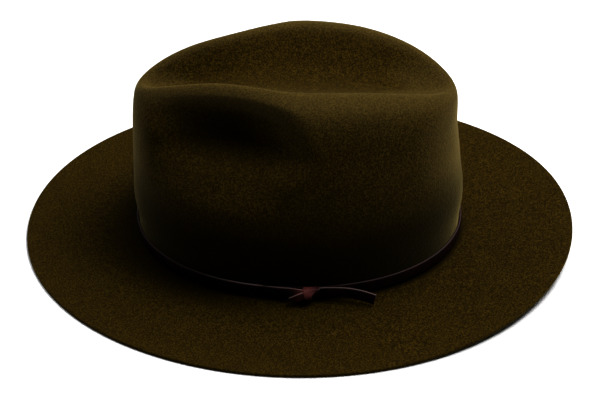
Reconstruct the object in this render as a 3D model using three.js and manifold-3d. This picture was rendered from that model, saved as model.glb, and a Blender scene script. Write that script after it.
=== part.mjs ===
// A fedora: one blocked felt with a flat brim, a teardrop dent and two front pinches in its crown,
// and a narrow leather strap tied round the foot of the crown.
// Millimetres, +Z up. The brim rests on z = 0, the front of the hat is towards -Y and the wearer's
// left towards +X.

import * as THREE from 'three';
import { mergeVertices } from 'three/addons/utils/BufferGeometryUtils.js';
import Module from 'manifold-3d';

const wasm = await Module();
wasm.setup();

// ---------------------------------------------------------------- driving dimensions

const felt = {
  thickness: 2.0,
  backLift: 7.5,
  backLiftFrom: 0.15,
  endDropPower: 2.8,
  crownLean: 0.8,
  leanFrom: 13.5,
  height: 124.6,
  anglesRound: 72,
};

// The front of the crown is narrowed ahead of its middle, from narrowFrom to narrowTo, given as
// shares of the half length, where -1 is the front end and +1 the rear end.
const narrowFrom = 0.1;
const narrowTo = -0.6;

// The strap stands on edge round the foot of the crown, a little clear of the felt.
const strap = {
  width: 7.4,
  thickness: 1.4,
  gap: 0.35,
  top: 13.6,
  anglesRound: 96,
};

// Middle line of each loose run of the strap at the half knot, from the knot outwards, with the
// strap's width there. The long tail drops until its lower edge all but meets the brim.
const longTail = [
  { x: 88.6, y: 3, z: 10.2, width: 4.6 },
  { x: 89.4, y: 8, z: 10.3, width: 5.6 },
  { x: 89.3, y: 16, z: 10.1, width: 7.2 },
  { x: 89.1, y: 25, z: 9.8, width: 7.4 },
  { x: 89.9, y: 36, z: 8.9, width: 7.4 },
  { x: 92.4, y: 47.5, z: 7.7, width: 7.2 },
];
const shortTail = [
  { x: 89.2, y: 4.5, z: 10.4, width: 4.6 },
  { x: 90.4, y: 0.8, z: 9.9, width: 5.4 },
  { x: 91.4, y: -3, z: 8.6, width: 5.6 },
  { x: 92.3, y: -7, z: 7.0, width: 5.4 },
];
// The turn that the knot takes over the strap, seen along the crown, from its top to its foot.
const knotTurn = [
  { x: 87.7, y: 4.6, z: 14.2, width: 4.8 },
  { x: 89.6, y: 4.6, z: 14.3, width: 4.6 },
  { x: 90.9, y: 4.4, z: 12.4, width: 4.4 },
  { x: 91.0, y: 4.2, z: 9.0, width: 4.2 },
  { x: 90.2, y: 4.0, z: 6.2, width: 4.2 },
  { x: 88.2, y: 4.0, z: 5.4, width: 4.2 },
];
const knotHeart = { x: 89.3, y: 4.6, z: 9.9, halfX: 2.1, halfY: 5.6, halfZ: 3.7 };
const runSteps = 3;

// One row per oval of the felt's outer face, from the brim's cut edge up the crown, over the ridge
// and down into the dent. front, rear and wide are the oval's reach from the origin, square its
// superellipse power, top its height at the sides and end its height at the front and rear ends.
// steps is the number of mesh rows to the next oval. lift is the share of the brim's rise at the
// back. narrow is the share taken off the width in front, pinch the further share taken in by the
// pinch, pinchAt its place along Y, reach how far it runs each way from there and dip how far the
// felt sinks in it.
const plain = { lift: 0, narrow: 0, pinch: 0, pinchAt: -55, reach: 50, dip: 0 };
const ovals = [
  { name: 'brim edge', front: 176.8, rear: 176.8, wide: 158.1, square: 2.03, top: 2, end: 2, steps: 2,
    lift: 1, narrow: 0.008 },
  { name: 'brim outer', front: 152, rear: 152, wide: 133.7, square: 2.04, top: 2, end: 2, steps: 2,
    lift: 0.55, narrow: 0.006 },
  { name: 'brim inner', front: 126, rear: 126, wide: 108.4, square: 2.07, top: 2.6, end: 2.6,
    steps: 2, lift: 0.16 },
  { name: 'brim break', front: 108, rear: 108, wide: 90.6, square: 2.09, top: 3.7, end: 3.7,
    steps: 1 },
  { name: 'corner', front: 104.9, rear: 104.9, wide: 87.5, square: 2.09, top: 4.2, end: 4.2,
    steps: 1 },
  { name: 'foot', front: 103.6, rear: 103.6, wide: 86.2, square: 2.09, top: 5.6, end: 5.6,
    steps: 1 },
  { name: 'strap top', front: 103.5, rear: 103.5, wide: 86.1, square: 2.09, top: 13.5, end: 13.5,
    steps: 2 },
  { name: 'swell', front: 106, rear: 105, wide: 87.2, square: 2.09, top: 33, end: 33, steps: 2 },
  { name: 'wall low', front: 105.3, rear: 102.6, wide: 84.6, square: 2.09, top: 56, end: 55,
    steps: 2 },
  { name: 'wall', front: 104.8, rear: 100.7, wide: 80, square: 2.08, top: 77, end: 72, steps: 2,
    pinch: 0.15, reach: 54 },
  { name: 'wall high', front: 104.3, rear: 99.1, wide: 72.8, square: 2.06, top: 95.5, end: 86.5,
    steps: 2, narrow: 0.04, pinch: 0.4, pinchAt: -45, reach: 56, dip: 2 },
  { name: 'shoulder low', front: 103.7, rear: 99.1, wide: 67.5, square: 2.04, top: 107, end: 94,
    steps: 2, narrow: 0.1, pinch: 0.36, pinchAt: -47, reach: 56, dip: 2 },
  { name: 'shoulder', front: 102.9, rear: 98.9, wide: 61, square: 2.03, top: 116.2, end: 99,
    steps: 2, narrow: 0.17, pinch: 0.2, pinchAt: -50, reach: 55, dip: 1.5 },
  { name: 'shoulder high', front: 101.8, rear: 98, wide: 53.5, square: 2.02, top: 121.7,
    end: 102.8, steps: 2, narrow: 0.22, pinch: 0.06, pinchAt: -56, reach: 52, dip: 1 },
  { name: 'ridge', front: 98.4, rear: 94.6, wide: 45, square: 2.02, top: 124.6, end: 106.2, steps: 2,
    narrow: 0.28 },
  { name: 'dent lip', front: 91.5, rear: 87.2, wide: 37.5, square: 2, top: 121.4, end: 104.4,
    steps: 2, narrow: 0.29 },
  { name: 'dent wall', front: 81, rear: 76, wide: 26, square: 2, top: 115, end: 102.6, steps: 2,
    narrow: 0.28 },
  { name: 'dent low', front: 69, rear: 65, wide: 14, square: 2, top: 110.2, end: 103.2, steps: 1,
    narrow: 0.2 },
  { name: 'dent floor', front: 61, rear: 57, wide: 4.5, square: 2, top: 109, end: 104.5, steps: 0,
    narrow: 0.1 },
].map((row) => ({ ...plain, ...row }));
const strapTop = ovals.find((oval) => oval.name === 'strap top');

// ---------------------------------------------------------------- the felt's outer face

const clamp01 = (value) => Math.min(Math.max(value, 0), 1);
const smooth = (value) => value * value * (3 - 2 * value);

// How far along the felt's profile each oval lies, measured at the sides.
ovals.forEach((oval, index) => {
  const last = ovals[Math.max(index - 1, 0)];
  oval.along = (last.along ?? 0) + Math.hypot(oval.wide - last.wide, oval.top - last.top);
});
const columns = Object.keys(ovals[0]).filter((column) => !['name', 'steps', 'along'].includes(column));

// Slope of one column at one oval: none at a crest or hollow, so the curve never overshoots.
function slopeAt(index, column) {
  const here = ovals[index];
  const before = ovals[Math.max(index - 1, 0)];
  const after = ovals[Math.min(index + 1, ovals.length - 1)];
  const rise = (a, b) => (a === b ? null : (b[column] - a[column]) / (b.along - a.along));
  const left = rise(before, here) ?? rise(here, after);
  const right = rise(here, after) ?? left;
  if (left * right <= 0) return 0;
  return (2 * left * right) / (left + right);
}

// The oval that lies a share of the way from one row to the next.
function ovalBetween(index, share) {
  const a = ovals[index];
  const b = ovals[index + 1];
  const length = b.along - a.along;
  const oval = {};
  for (const column of columns) {
    const out = slopeAt(index, column) * length;
    const into = slopeAt(index + 1, column) * length;
    const s2 = share * share;
    const s3 = s2 * share;
    oval[column] = a[column] * (2 * s3 - 3 * s2 + 1) + b[column] * (3 * s2 - 2 * s3)
      + out * (s3 - 2 * s2 + share) + into * (s3 - s2);
  }
  return oval;
}

// A point of an oval. The angle runs from the front end by the wearer's left to the rear.
function ovalPoint(oval, angle) {
  const power = 2 / oval.square;
  const cos = -Math.cos(angle);
  const sin = Math.sin(angle);
  const along = Math.sign(cos) * Math.abs(cos) ** power;
  const across = Math.sign(sin) * Math.abs(sin) ** power;
  const middle = (oval.rear - oval.front) / 2;
  const y = middle + along * (oval.rear + oval.front) / 2;
  const slim = oval.narrow * smooth(clamp01((narrowFrom - along) / (narrowFrom - narrowTo)));
  const near = clamp01(Math.abs(y - oval.pinchAt) / oval.reach);
  const bell = (1 - near ** 3) ** 2;
  const x = oval.wide * across * (1 - slim - oval.pinch * bell);
  const drop = (oval.top - oval.end) * Math.abs(along) ** felt.endDropPower;
  const behind = clamp01((along - felt.backLiftFrom) / (1 - felt.backLiftFrom));
  const lift = felt.backLift * oval.lift * behind * behind;
  const lean = felt.crownLean * along * clamp01((oval.top - felt.leanFrom) / (felt.height - felt.leanFrom));
  const dip = oval.dip * bell * Math.abs(across);
  return new THREE.Vector3(x, y, oval.top - drop - dip - lean + lift);
}

// ---------------------------------------------------------------- closed meshes

function solidGeometry(points, triangles) {
  const geometry = new THREE.BufferGeometry();
  geometry.setAttribute('position', new THREE.Float32BufferAttribute(points.flatMap((p) => p.toArray()), 3));
  geometry.setIndex(triangles);
  return geometry;
}

const quad = (a, b, c, d) => [a, b, c, a, c, d];

function makeFelt() {
  const count = felt.anglesRound;
  const rows = ovals.flatMap((oval, index) => (
    Array.from({ length: oval.steps }, (_, step) => ovalBetween(index, step / oval.steps))
  ));
  rows.push(ovals[ovals.length - 1]);
  const outer = rows.map((oval) => (
    Array.from({ length: count }, (_, i) => ovalPoint(oval, (i / count) * 2 * Math.PI))
  ));
  const inner = outer.map((ring, j) => ring.map((point, i) => {
    const before = outer[Math.max(j - 1, 0)][i];
    const after = outer[Math.min(j + 1, outer.length - 1)][i];
    const round = new THREE.Vector3().subVectors(ring[(i + 1) % count], ring[(i + count - 1) % count]);
    const inward = new THREE.Vector3().subVectors(after, before);
    const normal = round.cross(inward).normalize();
    const inside = point.clone().addScaledVector(normal, -felt.thickness);
    inside.z = Math.max(inside.z, 0);
    return inside;
  }));
  const points = [...outer.flat(), ...inner.flat()];
  const last = rows.length - 1;
  const at = (side, j, i) => side * rows.length * count + j * count + ((i + count) % count);
  const triangles = [];
  for (let i = 0; i < count; i += 1) {
    for (let j = 0; j < last; j += 1) {
      triangles.push(...quad(at(0, j, i), at(0, j, i + 1), at(0, j + 1, i + 1), at(0, j + 1, i)));
      triangles.push(...quad(at(1, j, i), at(1, j + 1, i), at(1, j + 1, i + 1), at(1, j, i + 1)));
    }
    triangles.push(...quad(at(1, 0, i), at(1, 0, i + 1), at(0, 0, i + 1), at(0, 0, i)));
  }
  for (let i = 0; i < count / 2; i += 1) {
    for (const side of [0, 1]) {
      const strip = [at(side, last, i), at(side, last, i + 1), at(side, last, -i - 1), at(side, last, -i)];
      if (side) strip.reverse();
      const corners = [...new Set(strip)];
      triangles.push(...(corners.length === 4 ? quad(...corners) : corners));
    }
  }
  return solidGeometry(points, triangles);
}

// ---------------------------------------------------------------- the leather strap

// A flat strip along a line of stations. Each station gives its middle, the way its width runs and
// the way its thickness runs.
function stripGeometry(stations, closed) {
  const corners = [[-1, -1], [1, -1], [1, 1], [-1, 1]];
  const points = stations.flatMap(({ middle, across, out, width }) => corners.map(([a, b]) => (
    middle.clone().addScaledVector(across, (a * width) / 2).addScaledVector(out, (b * strap.thickness) / 2)
  )));
  const count = stations.length;
  const triangles = [];
  for (let i = 0; i < (closed ? count : count - 1); i += 1) {
    const next = (i + 1) % count;
    for (let k = 0; k < 4; k += 1) {
      const side = (k + 1) % 4;
      triangles.push(...quad(i * 4 + k, i * 4 + side, next * 4 + side, next * 4 + k));
    }
  }
  if (!closed) {
    const end = (count - 1) * 4;
    triangles.push(...quad(3, 2, 1, 0), ...quad(end, end + 1, end + 2, end + 3));
  }
  return solidGeometry(points, triangles);
}

const up = new THREE.Vector3(0, 0, 1);

function ringStations() {
  const stations = [];
  for (let i = 0; i < strap.anglesRound; i += 1) {
    const angle = (i / strap.anglesRound) * 2 * Math.PI;
    const step = Math.PI / strap.anglesRound;
    const round = ovalPoint(strapTop, angle + step).sub(ovalPoint(strapTop, angle - step)).normalize();
    const out = round.clone().cross(up).normalize();
    const middle = ovalPoint(strapTop, angle).addScaledVector(out, strap.gap + strap.thickness / 2);
    middle.z = strap.top - strap.width / 2;
    stations.push({ middle, across: up, out, width: strap.width });
  }
  return stations;
}

// Stations along a loose run, smoothed through its rows. sideways is the way the strap's width
// leans where it is not upright.
function runStations(rows, sideways) {
  const curve = new THREE.CatmullRomCurve3(rows.map((row) => new THREE.Vector3(row.x, row.y, row.z)));
  const widths = new THREE.CatmullRomCurve3(rows.map((row) => new THREE.Vector3(row.width, 0, 0)));
  const last = (rows.length - 1) * runSteps;
  return Array.from({ length: last + 1 }, (_, i) => {
    const tangent = curve.getTangent(i / last);
    const across = sideways.clone().addScaledVector(tangent, -sideways.dot(tangent)).normalize();
    const out = tangent.clone().cross(across).normalize();
    return { middle: curve.getPoint(i / last), across, out, width: widths.getPoint(i / last).x };
  });
}

function toSolid(geometry) {
  const bare = geometry.clone();
  bare.deleteAttribute('normal');
  bare.deleteAttribute('uv');
  const merged = mergeVertices(bare, 1e-5);
  const mesh = new wasm.Mesh({
    numProp: 3,
    vertProperties: new Float32Array(merged.attributes.position.array),
    triVerts: new Uint32Array(merged.index.array),
  });
  return new wasm.Manifold(mesh);
}

function fromSolid(solid) {
  const mesh = solid.getMesh();
  const geometry = new THREE.BufferGeometry();
  geometry.setAttribute('position', new THREE.BufferAttribute(Float32Array.from(mesh.vertProperties), 3));
  geometry.setIndex(new THREE.BufferAttribute(Uint32Array.from(mesh.triVerts), 1));
  return geometry;
}

function makeBand() {
  const heart = new THREE.SphereGeometry(1, 16, 10);
  heart.scale(knotHeart.halfX, knotHeart.halfY, knotHeart.halfZ);
  heart.translate(knotHeart.x, knotHeart.y, knotHeart.z);
  const pieces = [
    stripGeometry(ringStations(), true),
    stripGeometry(runStations(longTail, up), false),
    stripGeometry(runStations(shortTail, up), false),
    stripGeometry(runStations(knotTurn, new THREE.Vector3(0, 1, 0)), false),
    heart,
  ];
  return fromSolid(pieces.map(toSolid).reduce((joined, piece) => joined.add(piece)));
}

// ---------------------------------------------------------------- the hat

const feltMaterial = new THREE.MeshStandardMaterial({ color: 0x2e2109, roughness: 0.95, metalness: 0 });
const leatherMaterial = new THREE.MeshStandardMaterial({ color: 0x3c120e, roughness: 0.5, metalness: 0 });

const group = new THREE.Group();
const feltBody = new THREE.Mesh(makeFelt(), feltMaterial);
feltBody.name = 'felt_body';
const hatBand = new THREE.Mesh(makeBand(), leatherMaterial);
hatBand.name = 'hat_band';
group.add(feltBody, hatBand);

export default group;
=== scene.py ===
import math

import bmesh
import bpy
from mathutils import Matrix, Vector, noise


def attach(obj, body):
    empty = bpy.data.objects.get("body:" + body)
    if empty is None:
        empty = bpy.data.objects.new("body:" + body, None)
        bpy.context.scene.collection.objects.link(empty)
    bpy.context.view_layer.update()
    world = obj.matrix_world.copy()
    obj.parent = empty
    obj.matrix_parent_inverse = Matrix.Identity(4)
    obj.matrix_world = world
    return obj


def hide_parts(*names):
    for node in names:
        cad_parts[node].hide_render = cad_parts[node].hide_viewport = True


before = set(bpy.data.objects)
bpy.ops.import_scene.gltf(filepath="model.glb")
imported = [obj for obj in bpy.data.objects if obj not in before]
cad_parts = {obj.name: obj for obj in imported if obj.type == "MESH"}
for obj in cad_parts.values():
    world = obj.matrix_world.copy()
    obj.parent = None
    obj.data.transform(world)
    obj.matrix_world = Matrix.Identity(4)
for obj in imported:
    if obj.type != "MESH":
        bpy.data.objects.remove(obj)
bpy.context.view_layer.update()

# A fedora: one blocked felt, and a leather strap tied round the foot of its crown.
# Tables are in millimetres, in the part's own frame: the front of the hat is towards -Y and the
# wearer's left towards +X.
MM = 0.001
# Vertices closer than this, in metres, are one.
SAME_PLACE = 1e-7

# ---------------------------------------------------------------- camera

CAMERA_FROM_TABLE = math.radians(34.55)
CAMERA_DISTANCE = 1.2
CAMERA_AIM = Vector((0.0, 0.0, 0.001))
CAMERA_LENS = 110.1
CAMERA_SHIFT = (0.00133, 0.03825)

camera_data = bpy.data.cameras.new("camera")
camera = bpy.data.objects.new("camera", camera_data)
bpy.context.scene.collection.objects.link(camera)
camera.location = CAMERA_AIM + CAMERA_DISTANCE * Vector(
    (math.cos(CAMERA_FROM_TABLE), 0, math.sin(CAMERA_FROM_TABLE)))
camera.rotation_euler = (CAMERA_AIM - camera.location).to_track_quat("-Z", "Y").to_euler()
camera_data.lens = CAMERA_LENS
camera_data.shift_x, camera_data.shift_y = CAMERA_SHIFT
bpy.context.scene.camera = camera

# ---------------------------------------------------------------- the felt's outer face

FELT_THICKNESS = 2.0
FELT_ANGLES = 288
CROWN_HEIGHT = 124.6
CROWN_LEAN = 0.8
LEAN_FROM = 13.5
END_DROP_POWER = 2.8
BACK_LIFT = 7.5
# Where the brim starts to lift, and where the narrowing starts and is full, as shares of the way
# from an oval's middle to its rear, or to its front where negative.
BACK_LIFT_FROM = 0.15
NARROW_FROM, NARROW_TO = 0.1, -0.6

# How worn each oval is, for those that are, and how much highlight is painted on it there: all
# round, on the shoulder, ridge, walls and brim edge, and at its two ends, as painted sheen on the
# crown's front and rear and the dent's ends. An end starts at a share of the way to the oval's
# front or rear.
WORN_AND_LIT = {"brim edge": 0.15, "wall low": 0.15, "wall": 0.16, "wall high": 0.14,
        "shoulder low": 0.25, "shoulder": 0.5, "shoulder high": 0.85, "ridge": 0.95,
        "dent lip": 0.2}
PAINTED_SHEEN_AT_ENDS = {"wall low": 0.35, "wall": 1.0, "wall high": 0.9,
             "shoulder low": 0.9, "shoulder": 0.9, "shoulder high": 0.95, "ridge": 1.0,
             "dent lip": 0.6, "dent wall": 0.6, "dent low": 0.3}
SHEEN_AT_FRONT_FROM, SHEEN_AT_REAR_FROM = 0.82, 0.6

# Painted shade on each oval: all round near the crown's foot and just above the strap, a painted
# shadow on the brim in front of the crown, and painted shade in the pinches.
PAINTED_SHADE_AT_FOOT = {"brim break": 0.35, "corner": 1.0, "foot": 1.0, "strap top": 1.0, "swell": 1.0,
          "wall low": 0.4}
PAINTED_SHADOW_IN_FRONT = {"brim inner": 0.3, "brim break": 0.9, "corner": 1.0}
SHADOW_IN_FRONT_FROM, SHADOW_IN_FRONT_TO = 10, -80
PAINTED_SHADE_IN_PINCH = 0.85
DEEPEST_PINCH = 0.4

# The slight waves that blocking leaves in the felt. They fade out down towards the strap.
WAVES_PER_METRE = 22
WAVE_HEIGHT = 0.35
RIPPLES_PER_WAVE = 2.3
RIPPLE_HEIGHT = 0.12
WAVES_FROM, WAVES_FULL = 16, 28

# The brim's cut edge: how far its corners are rounded, and where and how sharp a corner counts.
RIM_ROUNDING = 0.6
RIM_FROM_MIDDLE = 140
RIM_CORNER = math.radians(60)

# One row per oval of the felt's outer face, from the brim's cut edge up the crown, over the ridge
# and down into the dent. front, rear and wide are its reach, square its superellipse power, top and
# end its height at the sides and at the front and rear. lift is its share of the brim's rise at the
# back, narrow the share taken off the width in front, and pinch the share taken in by the pinch,
# which lies at pinch_at, runs reach each way and sinks by dip. steps is the mesh rows to the next.
COLUMNS = ("front", "rear", "wide", "square", "top", "end", "steps",
           "lift", "narrow", "pinch", "pinch_at", "reach", "dip")
OVALS = {
    "brim edge": (176.8, 176.8, 158.1, 2.03, 2, 2, 12, 1, 0.008, 0, -55, 50, 0),
    "brim outer": (152, 152, 133.7, 2.04, 2, 2, 12, 0.55, 0.006, 0, -55, 50, 0),
    "brim inner": (126, 126, 108.4, 2.07, 2.6, 2.6, 12, 0.16, 0, 0, -55, 50, 0),
    "brim break": (108, 108, 90.6, 2.09, 3.7, 3.7, 4, 0, 0, 0, -55, 50, 0),
    "corner": (104.9, 104.9, 87.5, 2.09, 4.2, 4.2, 3, 0, 0, 0, -55, 50, 0),
    "foot": (103.6, 103.6, 86.2, 2.09, 5.6, 5.6, 4, 0, 0, 0, -55, 50, 0),
    "strap top": (103.5, 103.5, 86.1, 2.09, 13.5, 13.5, 6, 0, 0, 0, -55, 50, 0),
    "swell": (106, 105, 87.2, 2.09, 33, 33, 8, 0, 0, 0, -55, 50, 0),
    "wall low": (105.3, 102.6, 84.6, 2.09, 56, 55, 8, 0, 0, 0, -55, 50, 0),
    "wall": (104.8, 100.7, 80, 2.08, 77, 72, 8, 0, 0, 0.15, -55, 54, 0),
    "wall high": (104.3, 99.1, 72.8, 2.06, 95.5, 86.5, 7, 0, 0.04, 0.4, -45, 56, 2),
    "shoulder low": (103.7, 99.1, 67.5, 2.04, 107, 94, 6, 0, 0.1, 0.36, -47, 56, 2),
    "shoulder": (102.9, 98.9, 61, 2.03, 116.2, 99, 6, 0, 0.17, 0.2, -50, 55, 1.5),
    "shoulder high": (101.8, 98, 53.5, 2.02, 121.7, 102.8, 6, 0, 0.22, 0.06, -56, 52, 1),
    "ridge": (98.4, 94.6, 45, 2.02, 124.6, 106.2, 6, 0, 0.28, 0, -55, 50, 0),
    "dent lip": (91.5, 87.2, 37.5, 2, 121.4, 104.4, 6, 0, 0.29, 0, -55, 50, 0),
    "dent wall": (81, 76, 26, 2, 115, 102.6, 6, 0, 0.28, 0, -55, 50, 0),
    "dent low": (69, 65, 14, 2, 110.2, 103.2, 5, 0, 0.2, 0, -55, 50, 0),
    "dent floor": (61, 57, 4.5, 2, 109, 104.5, 2, 0, 0.1, 0, -55, 50, 0),
    "dent seam": (59, 55, 0, 2, 108.8, 104.6, 0, 0, 0.1, 0, -55, 50, 0),
}
MARKS = {"worn_and_lit": WORN_AND_LIT, "painted_sheen_at_ends": PAINTED_SHEEN_AT_ENDS, "painted_shade": PAINTED_SHADE_AT_FOOT, "painted_shadow_in_front": PAINTED_SHADOW_IN_FRONT}
ovals = [dict(zip(COLUMNS, row)) for row in OVALS.values()]
for name, oval in zip(OVALS, ovals):
    oval.update({mark: amounts.get(name, 0.0) for mark, amounts in MARKS.items()})
strap_top = ovals[list(OVALS).index("strap top")]


def clamp01(value):
    return min(max(value, 0.0), 1.0)


def smooth(value):
    return value * value * (3 - 2 * value)


# How far along the felt's profile each oval lies, measured at the sides.
ovals[0]["along"] = 0.0
for before, here in zip(ovals, ovals[1:]):
    here["along"] = before["along"] + math.hypot(here["wide"] - before["wide"],
                                                 here["top"] - before["top"])


def slope_at(index, column):
    """Slope of one column at one oval: none at a crest or hollow, so it never overshoots."""
    def rise(a, b):
        return (ovals[b][column] - ovals[a][column]) / (ovals[b]["along"] - ovals[a]["along"])
    last = len(ovals) - 1
    left = rise(index - 1, index) if index > 0 else rise(0, 1)
    right = rise(index, index + 1) if index < last else left
    if left * right <= 0:
        return 0.0
    return 2 * left * right / (left + right)


def oval_between(index, share):
    """The oval that lies a share of the way from one row to the next."""
    a, b = ovals[index], ovals[index + 1]
    length = b["along"] - a["along"]
    s2, s3 = share ** 2, share ** 3
    oval = {}
    for column in (*COLUMNS, *MARKS):
        out = slope_at(index, column) * length
        into = slope_at(index + 1, column) * length
        oval[column] = (a[column] * (2 * s3 - 3 * s2 + 1) + b[column] * (3 * s2 - 2 * s3)
                        + out * (s3 - 2 * s2 + share) + into * (s3 - s2))
    return oval


def oval_point(oval, angle):
    """A point of an oval, in millimetres. The angle runs from the front by the left to the rear."""
    power = 2 / oval["square"]
    cos, sin = -math.cos(angle), math.sin(angle)
    along = math.copysign(abs(cos) ** power, cos)
    across = math.copysign(abs(sin) ** power, sin)
    y = (oval["rear"] - oval["front"]) / 2 + along * (oval["rear"] + oval["front"]) / 2
    slim = oval["narrow"] * smooth(clamp01((NARROW_FROM - along) / (NARROW_FROM - NARROW_TO)))
    near = clamp01(abs(y - oval["pinch_at"]) / oval["reach"])
    bell = (1 - near ** 3) ** 2
    x = oval["wide"] * across * (1 - slim - oval["pinch"] * bell)
    drop = (oval["top"] - oval["end"]) * abs(along) ** END_DROP_POWER
    behind = clamp01((along - BACK_LIFT_FROM) / (1 - BACK_LIFT_FROM))
    rise = BACK_LIFT * oval["lift"] * behind * behind
    lean = CROWN_LEAN * along * clamp01((oval["top"] - LEAN_FROM) / (CROWN_HEIGHT - LEAN_FROM))
    dip = oval["dip"] * bell * abs(across)
    return Vector((x, y, oval["top"] - drop - dip - lean + rise))


# ---------------------------------------------------------------- helpers

def new_piece(name, bm, material, node):
    """Makes the finished piece, riding on the hat's one body in place of its plain solid."""
    mesh = bpy.data.meshes.new(name)
    bm.to_mesh(mesh)
    bm.free()
    mesh.polygons.foreach_set("use_smooth", [True] * len(mesh.polygons))
    mesh.materials.append(material)
    piece = bpy.data.objects.new(name, mesh)
    bpy.context.scene.collection.objects.link(piece)
    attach(piece, "root")
    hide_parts(node)


# A Mix node's sockets for colours, which it lists by number beside those for its other kinds.
MIX_SHARE, MIX_FIRST, MIX_SECOND, MIX_RESULT = 0, 6, 7, 2


class Finish:
    """A procedural material, with its shader and short ways to add nodes."""

    def __init__(self, name):
        self.material = bpy.data.materials.new(name)
        self.material.use_nodes = True
        self.tree = self.material.node_tree
        self.shader = self.tree.nodes["Principled BSDF"]
        self.place = self.node("ShaderNodeTexCoord").outputs["Object"]

    def node(self, kind, **values):
        node = self.tree.nodes.new(kind)
        for key, value in values.items():
            setattr(node, key, value)
        return node

    def link(self, out, into):
        self.tree.links.new(out, into)

    def set(self, **values):
        for key, value in values.items():
            self.shader.inputs[key.replace("_", " ")].default_value = value

    def noise(self, per_metre, detail=2.0, rough=0.5, distort=0.0):
        texture = self.node("ShaderNodeTexNoise")
        texture.inputs["Scale"].default_value = per_metre
        texture.inputs["Detail"].default_value = detail
        texture.inputs["Roughness"].default_value = rough
        texture.inputs["Distortion"].default_value = distort
        self.link(self.place, texture.inputs["Vector"])
        return texture.outputs["Fac"]

    def cells(self, per_metre):
        texture = self.node("ShaderNodeTexVoronoi")
        texture.inputs["Scale"].default_value = per_metre
        self.link(self.place, texture.inputs["Vector"])
        return texture.outputs["Distance"]

    def spread(self, value, low, high, to_low=0.0, to_high=1.0):
        """Maps a value from low..high to to_low..to_high, smoothly."""
        node = self.node("ShaderNodeMapRange", interpolation_type="SMOOTHSTEP")
        self.link(value, node.inputs["Value"])
        for key, number in (("From Min", low), ("From Max", high),
                            ("To Min", to_low), ("To Max", to_high)):
            node.inputs[key].default_value = number
        return node.outputs["Result"]

    def blend(self, share, first, second):
        """Mixes two colours, each a constant or an output, by a share."""
        node = self.node("ShaderNodeMix", data_type="RGBA")
        self.link(share, node.inputs[MIX_SHARE])
        for number, colour in ((MIX_FIRST, first), (MIX_SECOND, second)):
            if isinstance(colour, tuple):
                node.inputs[number].default_value = (*colour, 1.0)
            else:
                self.link(colour, node.inputs[number])
        return node.outputs[MIX_RESULT]

    def bump(self, height, strength, depth, under=None):
        """Turns a height into a normal, over the normal of a finer bump where one is given."""
        node = self.node("ShaderNodeBump")
        node.inputs["Strength"].default_value = strength
        node.inputs["Distance"].default_value = depth
        self.link(height, node.inputs["Height"])
        if under is not None:
            self.link(under, node.inputs["Normal"])
        return node.outputs["Normal"]

    def attribute(self, name):
        node = self.node("ShaderNodeAttribute", attribute_name=name)
        return node.outputs["Fac"]


# ---------------------------------------------------------------- materials

FELT_DARK, FELT_PALE = (0.0300, 0.0175, 0.0013), (0.0368, 0.0223, 0.0019)
FELT_MOTTLE = (0.0193, 0.0114, 0.0009)
FELT_NAP = (0.0529, 0.0343, 0.0041)
# Worn felt, paler, which also paints the highlight on the ridge and shoulder and the sheen at the
# crown's ends.
FELT_WORN_AND_LIT = (0.0860, 0.0620, 0.0190)
FELT_SPECK = (0.0080, 0.0042, 0.0003)
# Worn felt again, over the specks, with the same painted highlight and sheen.
FELT_RUBBED_AND_LIT = (0.0720, 0.0520, 0.0160)
# Painted shade: at the crown's foot, on the brim in front of the crown and in the pinches.
FELT_PAINTED_SHADE = (0.0050, 0.0029, 0.0003)
FELT_GLEAM = (1.0, 0.72, 0.2)
FELT_SHEEN = (1.0, 0.82, 0.35)

LEATHER_DARK, LEATHER_PALE = (0.0055, 0.0011, 0.0014), (0.0130, 0.0023, 0.0026)
# Pulled leather at the knot, paler, with a painted highlight on its bulges.
LEATHER_PULLED_AND_LIT = (0.1050, 0.0310, 0.0270)
# Pale cut edges, brightened as a painted highlight.
LEATHER_CUT_PALE_AND_GLINT = (0.2600, 0.1900, 0.1700)

FLOOR_GREY = (0.55, 0.55, 0.55)
FLOOR_GLOW = (1.0, 1.0, 1.0)
# Metres from the hat's middle at which the floor starts to glow, and glows in full.
GLOW_FROM, GLOW_FULL = 0.4, 1.3


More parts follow.
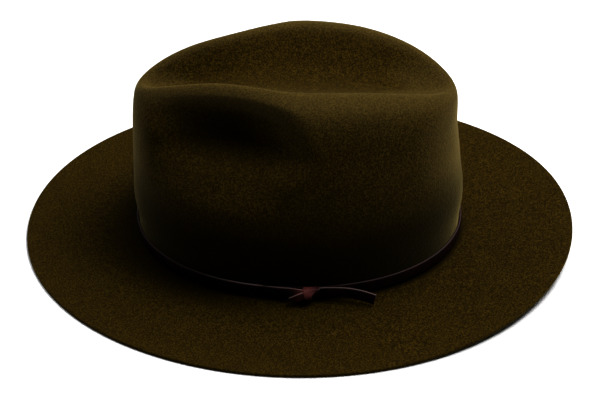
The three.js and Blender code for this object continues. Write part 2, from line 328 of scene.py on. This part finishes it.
def felt_finish():
    """Fur felt in a dark olive brown: mottled and speckled, with a soft nap, paler along the ridge,
    shoulder and edges, where it is worn and where highlight and sheen are painted, and darker with
    painted shade at the crown's foot, on the brim in front of it and in the pinches."""
    felt = Finish("brown_felt")
    specks = felt.noise(1000, detail=2.0, rough=0.75)
    nap = felt.noise(380, detail=4.0, rough=0.7, distort=0.4)
    mottle = felt.noise(75, detail=3.0, rough=0.6)
    clouds = felt.noise(18, detail=3.0, rough=0.55)
    # Wear, with painted highlight and sheen, where the felt's mesh marks it.
    wear_and_light = felt.attribute("worn_and_lit")
    shading = felt.attribute("painted_shade")
    base = felt.blend(felt.spread(clouds, 0.3, 0.7), FELT_DARK, FELT_PALE)
    mottled = felt.blend(felt.spread(mottle, 0.35, 0.65, 0.0, 0.55), base, FELT_MOTTLE)
    napped = felt.blend(felt.spread(nap, 0.38, 0.62, 0.0, 0.85), mottled, FELT_NAP)
    # Paler where worn, and where highlight and sheen are painted.
    worn_and_lit = felt.blend(felt.spread(wear_and_light, 0.0, 1.0, 0.0, 0.5), napped, FELT_WORN_AND_LIT)
    speckled = felt.blend(felt.spread(specks, 0.42, 0.58, 0.0, 0.88), worn_and_lit, FELT_SPECK)
    rubbed_and_lit = felt.blend(felt.spread(wear_and_light, 0.0, 1.0, 0.0, 0.45), speckled, FELT_RUBBED_AND_LIT)
    # Darker where shade is painted.
    painted_shade = felt.blend(felt.spread(shading, 0.0, 1.0, 0.0, 0.9), rubbed_and_lit, FELT_PAINTED_SHADE)
    felt.link(painted_shade, felt.shader.inputs["Base Color"])
    felt.link(felt.spread(nap, 0.3, 0.7, 0.72, 0.86), felt.shader.inputs["Roughness"])
    fibres = felt.bump(specks, 0.35, 0.0004)
    felt.link(felt.bump(nap, 0.4, 0.0006, fibres), felt.shader.inputs["Normal"])
    felt.set(Specular_IOR_Level=0.03, Specular_Tint=(*FELT_GLEAM, 1.0),
             Sheen_Weight=0.19, Sheen_Roughness=0.4, Sheen_Tint=(*FELT_SHEEN, 1.0))
    return felt.material


def leather_finish():
    """Dark burgundy strap leather: fine grain, and paler where it is cut or pulled tight, both with
    a painted highlight.
    """
    leather = Finish("burgundy_leather")
    grain = leather.cells(1500)
    pores = leather.noise(2400, detail=2.0)
    shade = leather.noise(120, detail=3.0)
    face = leather.blend(leather.spread(shade, 0.35, 0.65), LEATHER_DARK, LEATHER_PALE)
    # Paler near the knot, with a painted highlight.
    pulled_and_lit = leather.blend(leather.attribute("pulled_and_lit"), face, LEATHER_PULLED_AND_LIT)
    # Pale cut edges, with a painted highlight.
    cut = leather.blend(leather.attribute("cut_edge_pale_and_glint"), pulled_and_lit, LEATHER_CUT_PALE_AND_GLINT)
    leather.link(cut, leather.shader.inputs["Base Color"])
    leather.link(leather.spread(pores, 0.3, 0.7, 0.45, 0.6), leather.shader.inputs["Roughness"])
    fine = leather.bump(pores, 0.25, 0.0002)
    leather.link(leather.bump(grain, 0.3, 0.0003, fine), leather.shader.inputs["Normal"])
    leather.set(Specular_IOR_Level=0.13)
    return leather.material


def floor_finish():
    """A plain pale floor, which glows where the lights don't reach so that it stays pale."""
    floor = Finish("pale_floor")
    reach = floor.node("ShaderNodeVectorMath", operation="LENGTH")
    floor.link(floor.place, reach.inputs[0])
    floor.link(floor.spread(reach.outputs["Value"], GLOW_FROM, GLOW_FULL),
               floor.shader.inputs["Emission Strength"])
    floor.set(Base_Color=(*FLOOR_GREY, 1.0), Roughness=0.9, Specular_IOR_Level=0.0,
              Emission_Color=(*FLOOR_GLOW, 1.0))
    return floor.material


# ---------------------------------------------------------------- the felt body

def wear_light_and_shade(oval, y):
    """How worn an oval is at a place along the hat, with painted highlight and sheen, and how much
    shade is painted on it there.
    """
    # Painted sheen grows towards the oval's front and rear ends.
    start, reach = ((SHEEN_AT_FRONT_FROM, oval["front"]) if y < 0
                    else (SHEEN_AT_REAR_FROM, oval["rear"]))
    at_end = smooth(clamp01((abs(y) / reach - start) / (1 - start)))
    # Painted shadow on the brim in front of the crown, and painted shade in the pinches.
    in_front = smooth(clamp01((y - SHADOW_IN_FRONT_FROM) / (SHADOW_IN_FRONT_TO - SHADOW_IN_FRONT_FROM)))
    near = clamp01(abs(y - oval["pinch_at"]) / oval["reach"])
    pinch_shade = PAINTED_SHADE_IN_PINCH * (oval["pinch"] / DEEPEST_PINCH) ** 2 * (1 - near ** 2) ** 2
    return (clamp01(max(oval["worn_and_lit"], oval["painted_sheen_at_ends"] * at_end)),
            clamp01(max(oval["painted_shade"], oval["painted_shadow_in_front"] * in_front, pinch_shade)))


def make_felt():
    """Spins a flat disc, one ring per mesh row, blocks it to the hat's shape, and gives it its
    waves, its thickness and its rounded cut edge."""
    rows = []
    for index, oval in enumerate(ovals[:-1]):
        rows += [oval_between(index, step / oval["steps"]) for step in range(oval["steps"])]
    rows.append(ovals[-1])
    count = len(rows)
    bm = bmesh.new()
    line = [bm.verts.new((count - row, 0, 0)) for row in range(count)]
    spokes = [bm.edges.new(pair) for pair in zip(line, line[1:])]
    bmesh.ops.spin(bm, geom=line + spokes, cent=(0, 0, 0), axis=(0, 0, 1), dvec=(0, 0, 0),
                   angle=2 * math.pi, steps=FELT_ANGLES, use_merge=True, use_duplicate=False)
    # Marks for wear with painted highlight and sheen, and for painted shade.
    worn_and_lit, painted_shade = (bm.verts.layers.float.new(name) for name in ("worn_and_lit", "painted_shade"))
    for vert in bm.verts:
        oval = rows[count - round(vert.co.xy.length)]
        vert.co = oval_point(oval, math.atan2(vert.co.y, vert.co.x)) * MM
        vert[worn_and_lit], vert[painted_shade] = wear_light_and_shade(oval, vert.co.y / MM)
    bmesh.ops.remove_doubles(bm, verts=bm.verts, dist=SAME_PLACE)
    bmesh.ops.recalc_face_normals(bm, faces=bm.faces)
    if sum(face.normal.z for face in bm.faces) < 0:
        bmesh.ops.reverse_faces(bm, faces=bm.faces)
    for vert in bm.verts:
        spot = vert.co * WAVES_PER_METRE
        wave = (noise.noise(spot) * WAVE_HEIGHT
                + noise.noise(spot * RIPPLES_PER_WAVE) * RIPPLE_HEIGHT)
        share = clamp01((vert.co.z / MM - WAVES_FROM) / (WAVES_FULL - WAVES_FROM))
        vert.co += vert.normal * wave * share * MM
    shell = bmesh.ops.solidify(bm, geom=bm.verts[:] + bm.edges[:] + bm.faces[:],
                               thickness=FELT_THICKNESS * MM)
    for item in shell["geom"]:
        if isinstance(item, bmesh.types.BMVert):
            item.co.z = max(item.co.z, 0.0)
    bm.normal_update()
    rim = [edge for edge in bm.edges
           if edge.is_manifold and edge.calc_face_angle() > RIM_CORNER
           and edge.verts[0].co.xy.length > RIM_FROM_MIDDLE * MM]
    bmesh.ops.bevel(bm, geom=rim, offset=RIM_ROUNDING * MM, offset_type="OFFSET", segments=3,
                    profile=0.5, affect="EDGES", material=-1, clamp_overlap=True)
    new_piece("felt_hat_body", bm, felt_finish(), "felt_body")


# ---------------------------------------------------------------- the leather strap

STRAP_WIDTH = 7.4
STRAP_THICKNESS = 1.4
STRAP_GAP = 0.35
STRAP_TOP = 13.6
RING_STATIONS = 240
UP = Vector((0, 0, 1))
# The knot's middle along the strap, and how far from it the leather looks pulled, paler with a
# painted highlight on the knot's bulges, in full and not at all.
KNOT_MIDDLE = 3.4
PULLED_AND_LIT_FULL_TO, PULLED_AND_LIT_NONE_FROM = 2.45, 9.45

# How pale each strip's cut edges are: their own pale tone, with a painted highlight where the strip
# stands out and catches light.
TIED_PALE_AND_GLINT, OVER_PALE_AND_GLINT, WRAP_PALE_AND_GLINT = 0.45, 0.6, 0.3
# The ring's have a painted highlight, brightest a little before the knot and weak on the far side,
# and painted shade behind the knot.
RING_PALE_AND_GLINT_FAR_SIDE = 0.22
RING_PALE_AND_GLINT, RING_PALE_AND_GLINT_MORE = 0.15, 0.85
RING_GLINT_PEAK_AT, RING_GLINT_PEAK_REACH = -30, 22
BEHIND_KNOT_AT, BEHIND_KNOT_REACH, BEHIND_KNOT_FADE = 1, 26, 5

# The tied strip, from the short tail's tip behind the knot's wrap to the long tail's end. Each row
# gives the strip's top edge, the way its width runs from there, and its width.
TIED_STRIP = (
    ((93.6, -6.4, 10.0), (-0.1, 0.0, -1.0), 4.6),
    ((93.8, -3.6, 11.5), (-0.1, 0.0, -1.0), 5.4),
    ((93.6, -0.6, 12.9), (-0.15, 0.0, -1.0), 6.0),
    ((92.8, 2.4, 13.7), (-0.2, 0.0, -1.0), 6.2),
    ((91.2, 6.2, 14.3), (-0.25, 0.0, -0.97), 6.2),
    ((89.6, 10.2, 14.6), (-0.1, 0.0, -1.0), 6.2),
    ((89.0, 14.2, 14.6), (0.0, 0.0, -1.0), 6.8),
    ((88.7, 19.0, 14.5), (0.0, 0.0, -1.0), 7.1),
    ((88.6, 26.0, 14.3), (0.0, 0.0, -1.0), 7.3),
    ((89.0, 33.0, 13.7), (0.05, 0.0, -1.0), 7.3),
    ((90.2, 40.0, 12.7), (0.1, 0.0, -1.0), 7.3),
    ((92.2, 47.0, 11.4), (0.15, 0.05, -1.0), 7.2),
)
# The strap's own end, rising from the strap over the short tail on its way into the knot.
OVER_STRIP = (
    ((84.2, -26.0, 13.3), (0.0, 0.0, -1.0), 6.8),
    ((86.4, -18.5, 13.6), (0.0, 0.0, -1.0), 7.0),
    ((87.7, -12.5, 13.9), (0.0, 0.0, -1.0), 6.8),
    ((89.0, -7.0, 14.3), (0.1, 0.0, -1.0), 6.0),
    ((90.2, -2.8, 14.6), (0.25, 0.0, -1.0), 4.8),
    ((90.9, 0.8, 14.4), (0.3, 0.0, -0.95), 4.0),
    ((90.2, 4.4, 13.6), (0.1, 0.0, -1.0), 4.0),
)
# The wrap that holds the knot: it comes over the strap's top edge, bulges out and tucks under.
# Its rows give its front edge, and it fans out towards the top.
WRAP_STRIP = (
    ((86.9, 2.4, 12.2), (0.0, 1.0, 0.0), 9.8),
    ((88.8, 2.1, 13.9), (0.0, 1.0, 0.0), 10.4),
    ((91.6, 2.0, 14.1), (-0.12, 1.0, 0.0), 10.4),
    ((93.5, 2.2, 12.8), (-0.2, 1.0, 0.0), 9.2),
    ((94.3, 2.7, 11.1), (-0.25, 1.0, 0.06), 7.4),
    ((94.2, 3.4, 9.5), (-0.25, 1.0, 0.15), 5.4),
    ((93.2, 4.2, 8.2), (-0.2, 1.0, 0.2), 3.8),
    ((91.2, 4.9, 7.2), (0.0, 1.0, 0.2), 3.0),
)
STEPS_PER_ROW = 6
TANGENT_REACH = 0.05
# The cut end of a strip: how far in its face starts to rise, and how far it rises.
END_INSET, END_RISE = 0.2, 0.08


def ring_pale_and_glint(place):
    """How pale the ring's cut edges are at a place, in millimetres, with their painted highlight
    and the painted shade behind the knot.
    """
    if place.x < 0:
        return RING_PALE_AND_GLINT_FAR_SIDE
    from_knot = abs(place.y - BEHIND_KNOT_AT)
    behind_knot = smooth(clamp01((BEHIND_KNOT_REACH - from_knot) / BEHIND_KNOT_FADE))
    palest = math.exp(-((place.y - RING_GLINT_PEAK_AT) / RING_GLINT_PEAK_REACH) ** 2)
    return (RING_PALE_AND_GLINT + RING_PALE_AND_GLINT_MORE * palest) * (1 - behind_knot)


def ring_stations():
    """Stations of the strap round the crown's foot: middle, width way, outward way and width."""
    stations = []
    step = math.pi / RING_STATIONS
    for i in range(RING_STATIONS):
        angle = 2 * math.pi * i / RING_STATIONS
        tangent = oval_point(strap_top, angle + step) - oval_point(strap_top, angle - step)
        out = tangent.normalized().cross(UP).normalized()
        middle = oval_point(strap_top, angle) + out * (STRAP_GAP + STRAP_THICKNESS / 2)
        middle.z = STRAP_TOP - STRAP_WIDTH / 2
        stations.append((middle, UP, out, STRAP_WIDTH))
    return stations


def curve_through(values, share):
    """A point of the smooth curve through a list of vectors; share counts rows."""
    index = min(int(share), len(values) - 2)
    t = share - index
    b, c = values[index], values[index + 1]
    a = values[index - 1] if index > 0 else b * 2 - c
    d = values[index + 2] if index + 2 < len(values) else c * 2 - b
    return 0.5 * (b * 2 + (c - a) * t + (a * 2 - b * 5 + c * 4 - d) * t ** 2
                  + (b * 3 - a - c * 3 + d) * t ** 3)


def strip_stations(rows):
    """Stations of a loose strip that is given by its top edge."""
    edges = [Vector(row[0]) for row in rows]
    ways = [Vector(row[1]).normalized() for row in rows]
    widths = [Vector((row[2], 0, 0)) for row in rows]
    last = (len(rows) - 1) * STEPS_PER_ROW
    stations = []
    for i in range(last + 1):
        share = i / STEPS_PER_ROW
        tangent = (curve_through(edges, min(share + TANGENT_REACH, len(rows) - 1))
                   - curve_through(edges, max(share - TANGENT_REACH, 0))).normalized()
        way = curve_through(ways, share)
        way = (way - tangent * way.dot(tangent)).normalized()
        out = tangent.cross(-way).normalized()
        width = curve_through(widths, share).x
        stations.append((curve_through(edges, share) + way * width / 2, -way, out, width))
    return stations


# Corners of the strap's cut across, as shares of its half width and half thickness, with how far
# each lies on the cut edge.
SECTION = (
    (1.0, 0.0, 0.6), (0.985, 0.55, 1.0), (0.93, 0.86, 0.3), (0.8, 1.0, 0.0), (0.4, 1.03, 0.0),
    (0.0, 1.05, 0.0), (-0.4, 1.03, 0.0), (-0.8, 1.0, 0.0), (-0.93, 0.86, 0.3),
    (-0.985, 0.55, 1.0), (-1.0, 0.0, 0.6), (-0.985, -0.55, 0.3), (-0.93, -0.86, 0.1),
    (-0.8, -1.0, 0.0), (-0.4, -1.03, 0.0), (0.0, -1.05, 0.0), (0.4, -1.03, 0.0),
    (0.8, -1.0, 0.0), (0.93, -0.86, 0.1), (0.985, -0.55, 0.3),
)


def loop_edges(bm, loop):
    """The edges of a closed loop of vertices."""
    return [bm.edges.get(pair) for pair in zip(loop, loop[1:] + loop[:1])]


def lay_strip(bm, stations, closed, edge_pale_and_glint):
    """Extrudes the strap's section from station to station. Its cut edges are as pale as given,
    which paints a highlight on them, and near the knot it looks pulled tight, paler with a painted
    highlight."""
    cut_edge_pale_and_glint, pulled_and_lit = (bm.verts.layers.float[name] for name in ("cut_edge_pale_and_glint", "pulled_and_lit"))

    def place(loop, station):
        middle, across, out, width = station
        for vert, (a, b, cut) in zip(loop, SECTION):
            vert.co = (middle + across * (a * width / 2) + out * (b * STRAP_THICKNESS / 2)) * MM
            # Pale cut edges with a painted highlight, as strong as given here.
            vert[cut_edge_pale_and_glint] = cut * edge_pale_and_glint(middle)
            # Pulled tight near the knot, with a painted highlight there.
            from_knot = abs(vert.co.y / MM - KNOT_MIDDLE)
            share = (PULLED_AND_LIT_NONE_FROM - from_knot) / (PULLED_AND_LIT_NONE_FROM - PULLED_AND_LIT_FULL_TO)
            vert[pulled_and_lit] = 0.0 if closed else clamp01(share)

    first = bmesh.ops.create_circle(bm, cap_ends=False, radius=1, segments=len(SECTION))["verts"]
    place(first, stations[0])
    loop = first
    for station in stations[1:]:
        made = bmesh.ops.extrude_edge_only(bm, edges=loop_edges(bm, loop))["geom"]
        fresh = {item for item in made if isinstance(item, bmesh.types.BMVert)}
        loop = [next(edge.other_vert(vert) for edge in vert.link_edges
                     if edge.other_vert(vert) in fresh) for vert in loop]
        place(loop, station)
    if closed:
        bmesh.ops.bridge_loops(bm, edges=loop_edges(bm, first) + loop_edges(bm, loop))
    else:
        for end in (first, loop):
            cap = bm.faces.new(end)
            bmesh.ops.inset_individual(bm, faces=[cap], thickness=END_INSET * MM,
                                       depth=END_RISE * MM)


def make_strap():
    """Lays the ring round the crown's foot, and the three strips of its knot."""
    bm = bmesh.new()
    for name in ("cut_edge_pale_and_glint", "pulled_and_lit"):
        bm.verts.layers.float.new(name)
    lay_strip(bm, ring_stations(), closed=True, edge_pale_and_glint=ring_pale_and_glint)
    for rows, pale in ((TIED_STRIP, TIED_PALE_AND_GLINT), (OVER_STRIP, OVER_PALE_AND_GLINT),
                       (WRAP_STRIP, WRAP_PALE_AND_GLINT)):
        lay_strip(bm, strip_stations(rows), closed=False, edge_pale_and_glint=lambda place: pale)
    bmesh.ops.recalc_face_normals(bm, faces=bm.faces)
    new_piece("leather_hat_strap", bm, leather_finish(), "hat_band")


# ---------------------------------------------------------------- floor and light

FLOOR_HALF = 6.0
LIGHT_DISTANCE = 1.8
LIGHT_AIM = Vector((0, 0, 0.06))
# Each light: azimuth from the camera's side towards the rear of the hat and height above the table,
# in degrees, its side in metres and its power in watts.
LIGHTS = {
    "key": (135, 60, 0.8, 30.0),
    "side": (90, 64, 0.8, 41.0),
    "low": (95, 10, 0.5, 4.5),
    "rim": (225, 60, 0.8, 15.0),
    "left": (262, 35, 0.7, 5.5),
    "back": (180, 30, 0.7, 2.0),
    "top": (0, 75, 0.8, 4.2),
}
CONTRAST = 1.5


def make_stage():
    bm = bmesh.new()
    bmesh.ops.create_grid(bm, x_segments=1, y_segments=1, size=FLOOR_HALF)
    mesh = bpy.data.meshes.new("floor")
    bm.to_mesh(mesh)
    bm.free()
    mesh.materials.append(floor_finish())
    floor = bpy.data.objects.new("floor", mesh)
    bpy.context.scene.collection.objects.link(floor)


def make_lights():
    for name, (azimuth, height, size, power) in LIGHTS.items():
        data = bpy.data.lights.new(name, "AREA")
        data.energy, data.size = power, size
        light = bpy.data.objects.new(name, data)
        bpy.context.scene.collection.objects.link(light)
        turn, tilt = math.radians(azimuth), math.radians(height)
        light.location = LIGHT_DISTANCE * Vector(
            (math.cos(tilt) * math.cos(turn), math.cos(tilt) * math.sin(turn), math.sin(tilt)))
        light.rotation_euler = (LIGHT_AIM - light.location).to_track_quat("-Z", "Y").to_euler()
    world = bpy.data.worlds.new("studio")
    world.use_nodes = True
    world.node_tree.nodes["Background"].inputs["Strength"].default_value = 0.0
    bpy.context.scene.world = world
    bpy.context.scene.view_settings.view_transform = "Standard"
    bpy.context.scene.view_settings.gamma = 1 / CONTRAST


make_felt()
make_strap()
make_stage()
make_lights()
